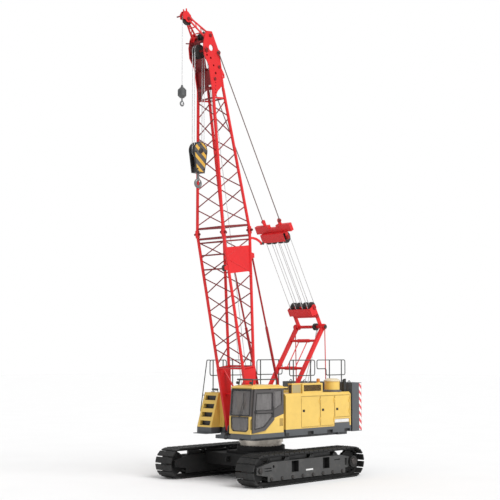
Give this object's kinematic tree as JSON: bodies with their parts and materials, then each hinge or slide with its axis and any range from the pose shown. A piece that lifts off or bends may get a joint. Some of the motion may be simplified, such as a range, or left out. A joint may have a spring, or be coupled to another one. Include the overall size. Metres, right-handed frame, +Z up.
{
  "type": "crawler crane",
  "caption": "Crawler crane with a raised lattice boom, tip jib, main and auxiliary hooks, tilted gantry, side cab, machinery housings and a round counterweight.",
  "frame": {"origin": "on the ground under the slewing centre, midway between the tracks", "axes": "+X towards the boom and the front of the upper works, +Y to the cab side, +Z up"},
  "size_m": [7.6012, 4.44, 15.1986],
  "materials": {
    "red_paint": "gloss",
    "yellow_paint": "gloss",
    "grey_paint": "satin",
    "dark_paint": "satin",
    "dark_steel": "matte",
    "bare_steel": "satin",
    "glass": "gloss",
    "seat": "matte"
  },
  "bodies": {
    "undercarriage": {"carbody": "dark_paint", "slew_ring": "bare_steel", "track_frame_left": "dark_paint", "track_frame_right": "dark_paint", "track_left": "dark_steel", "track_right": "dark_steel", "running_gear_left": "dark_steel", "running_gear_right": "dark_steel"},
    "upper": {"revolving_frame": "grey_paint", "house_left": "yellow_paint", "house_right": "yellow_paint", "access_steps": "yellow_paint", "engine": "grey_paint", "counterweight_base": "grey_paint", "counterweight_blocks": "grey_paint", "gantry_frame": "red_paint", "gantry_links": "red_paint", "winch_drums": "bare_steel", "handrails": "grey_paint", "roof_units": "yellow_paint", "exhaust": "dark_steel", "cab_shell": "yellow_paint", "cab_roof": "yellow_paint", "cab_glazing": "glass", "operator_seat": "seat"},
    "cab_door": {"cab_door": "grey_paint", "cab_door_glass": "glass"},
    "left_front_door": {"left_door_front": "yellow_paint"},
    "left_middle_door": {"left_door_middle": "yellow_paint"},
    "left_rear_door": {"left_door_rear": "yellow_paint"},
    "right_front_door": {"right_door_front": "yellow_paint"},
    "right_rear_door": {"right_door_rear": "yellow_paint"},
    "boom": {"boom_base": "red_paint", "boom_top": "red_paint", "boom_sheaves": "dark_steel", "tip_jib": "red_paint"},
    "gantry_head": {"gantry_head": "red_paint", "gantry_sheaves": "dark_steel", "luffing_ropes": "bare_steel"},
    "bail": {"bail": "red_paint", "bail_sheaves": "dark_steel", "pendants": "bare_steel"},
    "backstop_tubes": {"backstop_tubes": "red_paint"},
    "backstop_rods": {"backstop_rods": "red_paint"},
    "main_fall": {"main_ropes": "bare_steel"},
    "main_block": {"main_block": "dark_paint"},
    "main_hook": {"main_hook": "dark_steel"},
    "aux_fall": {"aux_rope": "bare_steel"},
    "aux_weight": {"aux_weight": "dark_paint"},
    "aux_hook": {"aux_hook": "dark_steel"}
  },
  "joints": [
    {"name": "slew", "type": "hinge", "parent": "undercarriage", "child": "upper", "pos_m": [0, 0, 1.3], "axis": [0, 0, 1], "continuous": true},
    {"name": "luff", "type": "hinge", "parent": "upper", "child": "boom", "pos_m": [0.95, 0, 1.63], "axis": [0, -1, 0], "range_deg": [-52, 0.5]},
    {"name": "gantry_head_tilt", "type": "hinge", "parent": "upper", "child": "gantry_head", "pos_m": [-2.55, 0, 5.04], "axis": [0, -1, 0], "range_deg": [-48.78, 0.52]},
    {"name": "bail_travel", "type": "slide", "parent": "gantry_head", "child": "bail", "axis": [0.4895, 0, 0.872], "range_m": [-0.04166, 4.2292], "deforming": ["luffing_ropes"]},
    {"name": "backstop_tilt", "type": "hinge", "parent": "upper", "child": "backstop_tubes", "pos_m": [-0.65, 0, 2], "axis": [0, -1, 0], "range_deg": [-46.1, 0.49]},
    {"name": "backstop_stroke", "type": "slide", "parent": "backstop_tubes", "child": "backstop_rods", "axis": [0.2848, 0, 0.9586], "range_m": [-0.0134, 1.29065]},
    {"name": "main_swing", "type": "hinge", "parent": "boom", "child": "main_fall", "pos_m": [2.96902, 0, 13.90145], "axis": [0, -1, 0], "range_deg": [-0.55, 52.05]},
    {"name": "main_hoist", "type": "slide", "parent": "main_fall", "child": "main_block", "axis": [0, 0, -1], "range_m": [-1, 8.4], "deforming": ["main_ropes"]},
    {"name": "main_hook_swivel", "type": "hinge", "parent": "main_block", "child": "main_hook", "pos_m": [2.96902, 0, 10], "axis": [0, 0, 1], "continuous": true},
    {"name": "aux_swing", "type": "hinge", "parent": "boom", "child": "aux_fall", "pos_m": [3.50134, 0, 14.88034], "axis": [0, -1, 0], "range_deg": [-0.55, 52.05]},
    {"name": "aux_hoist", "type": "slide", "parent": "aux_fall", "child": "aux_weight", "axis": [0, 0, -1], "range_m": [-1.1, 10.9], "deforming": ["aux_rope"]},
    {"name": "aux_hook_swivel", "type": "hinge", "parent": "aux_weight", "child": "aux_hook", "pos_m": [3.69264, 0, 12.2], "axis": [0, 0, 1], "continuous": true},
    {"name": "cab_door_slide", "type": "slide", "parent": "upper", "child": "cab_door", "axis": [-1, 0, 0], "range_m": [0, 0.62]},
    {"name": "left_front_door_hinge", "type": "hinge", "parent": "upper", "child": "left_front_door", "pos_m": [-1.149, 1.626, 2.2], "axis": [0, 0, 1], "range_deg": [0, 100]},
    {"name": "left_middle_door_hinge", "type": "hinge", "parent": "upper", "child": "left_middle_door", "pos_m": [-1.899, 1.626, 2.2], "axis": [0, 0, 1], "range_deg": [0, 100]},
    {"name": "left_rear_door_hinge", "type": "hinge", "parent": "upper", "child": "left_rear_door", "pos_m": [-2.734, 1.626, 2.2], "axis": [0, 0, 1], "range_deg": [0, 100]},
    {"name": "right_front_door_hinge", "type": "hinge", "parent": "upper", "child": "right_front_door", "pos_m": [-0.919, -1.626, 2.2], "axis": [0, 0, -1], "range_deg": [0, 100]},
    {"name": "right_rear_door_hinge", "type": "hinge", "parent": "upper", "child": "right_rear_door", "pos_m": [-1.894, -1.626, 2.2], "axis": [0, 0, -1], "range_deg": [0, 100]}
  ],
  "couplings": [
    {"joint": "gantry_head_tilt", "follows": "luff", "ratio": 0.93714},
    {"joint": "bail_travel", "follows": "luff", "m_per_rad": -4.6588},
    {"joint": "backstop_tilt", "follows": "luff", "ratio": 0.88567},
    {"joint": "backstop_stroke", "follows": "luff", "m_per_rad": -1.421},
    {"joint": "main_swing", "follows": "luff", "ratio": -1},
    {"joint": "aux_swing", "follows": "luff", "ratio": -1}
  ]
}
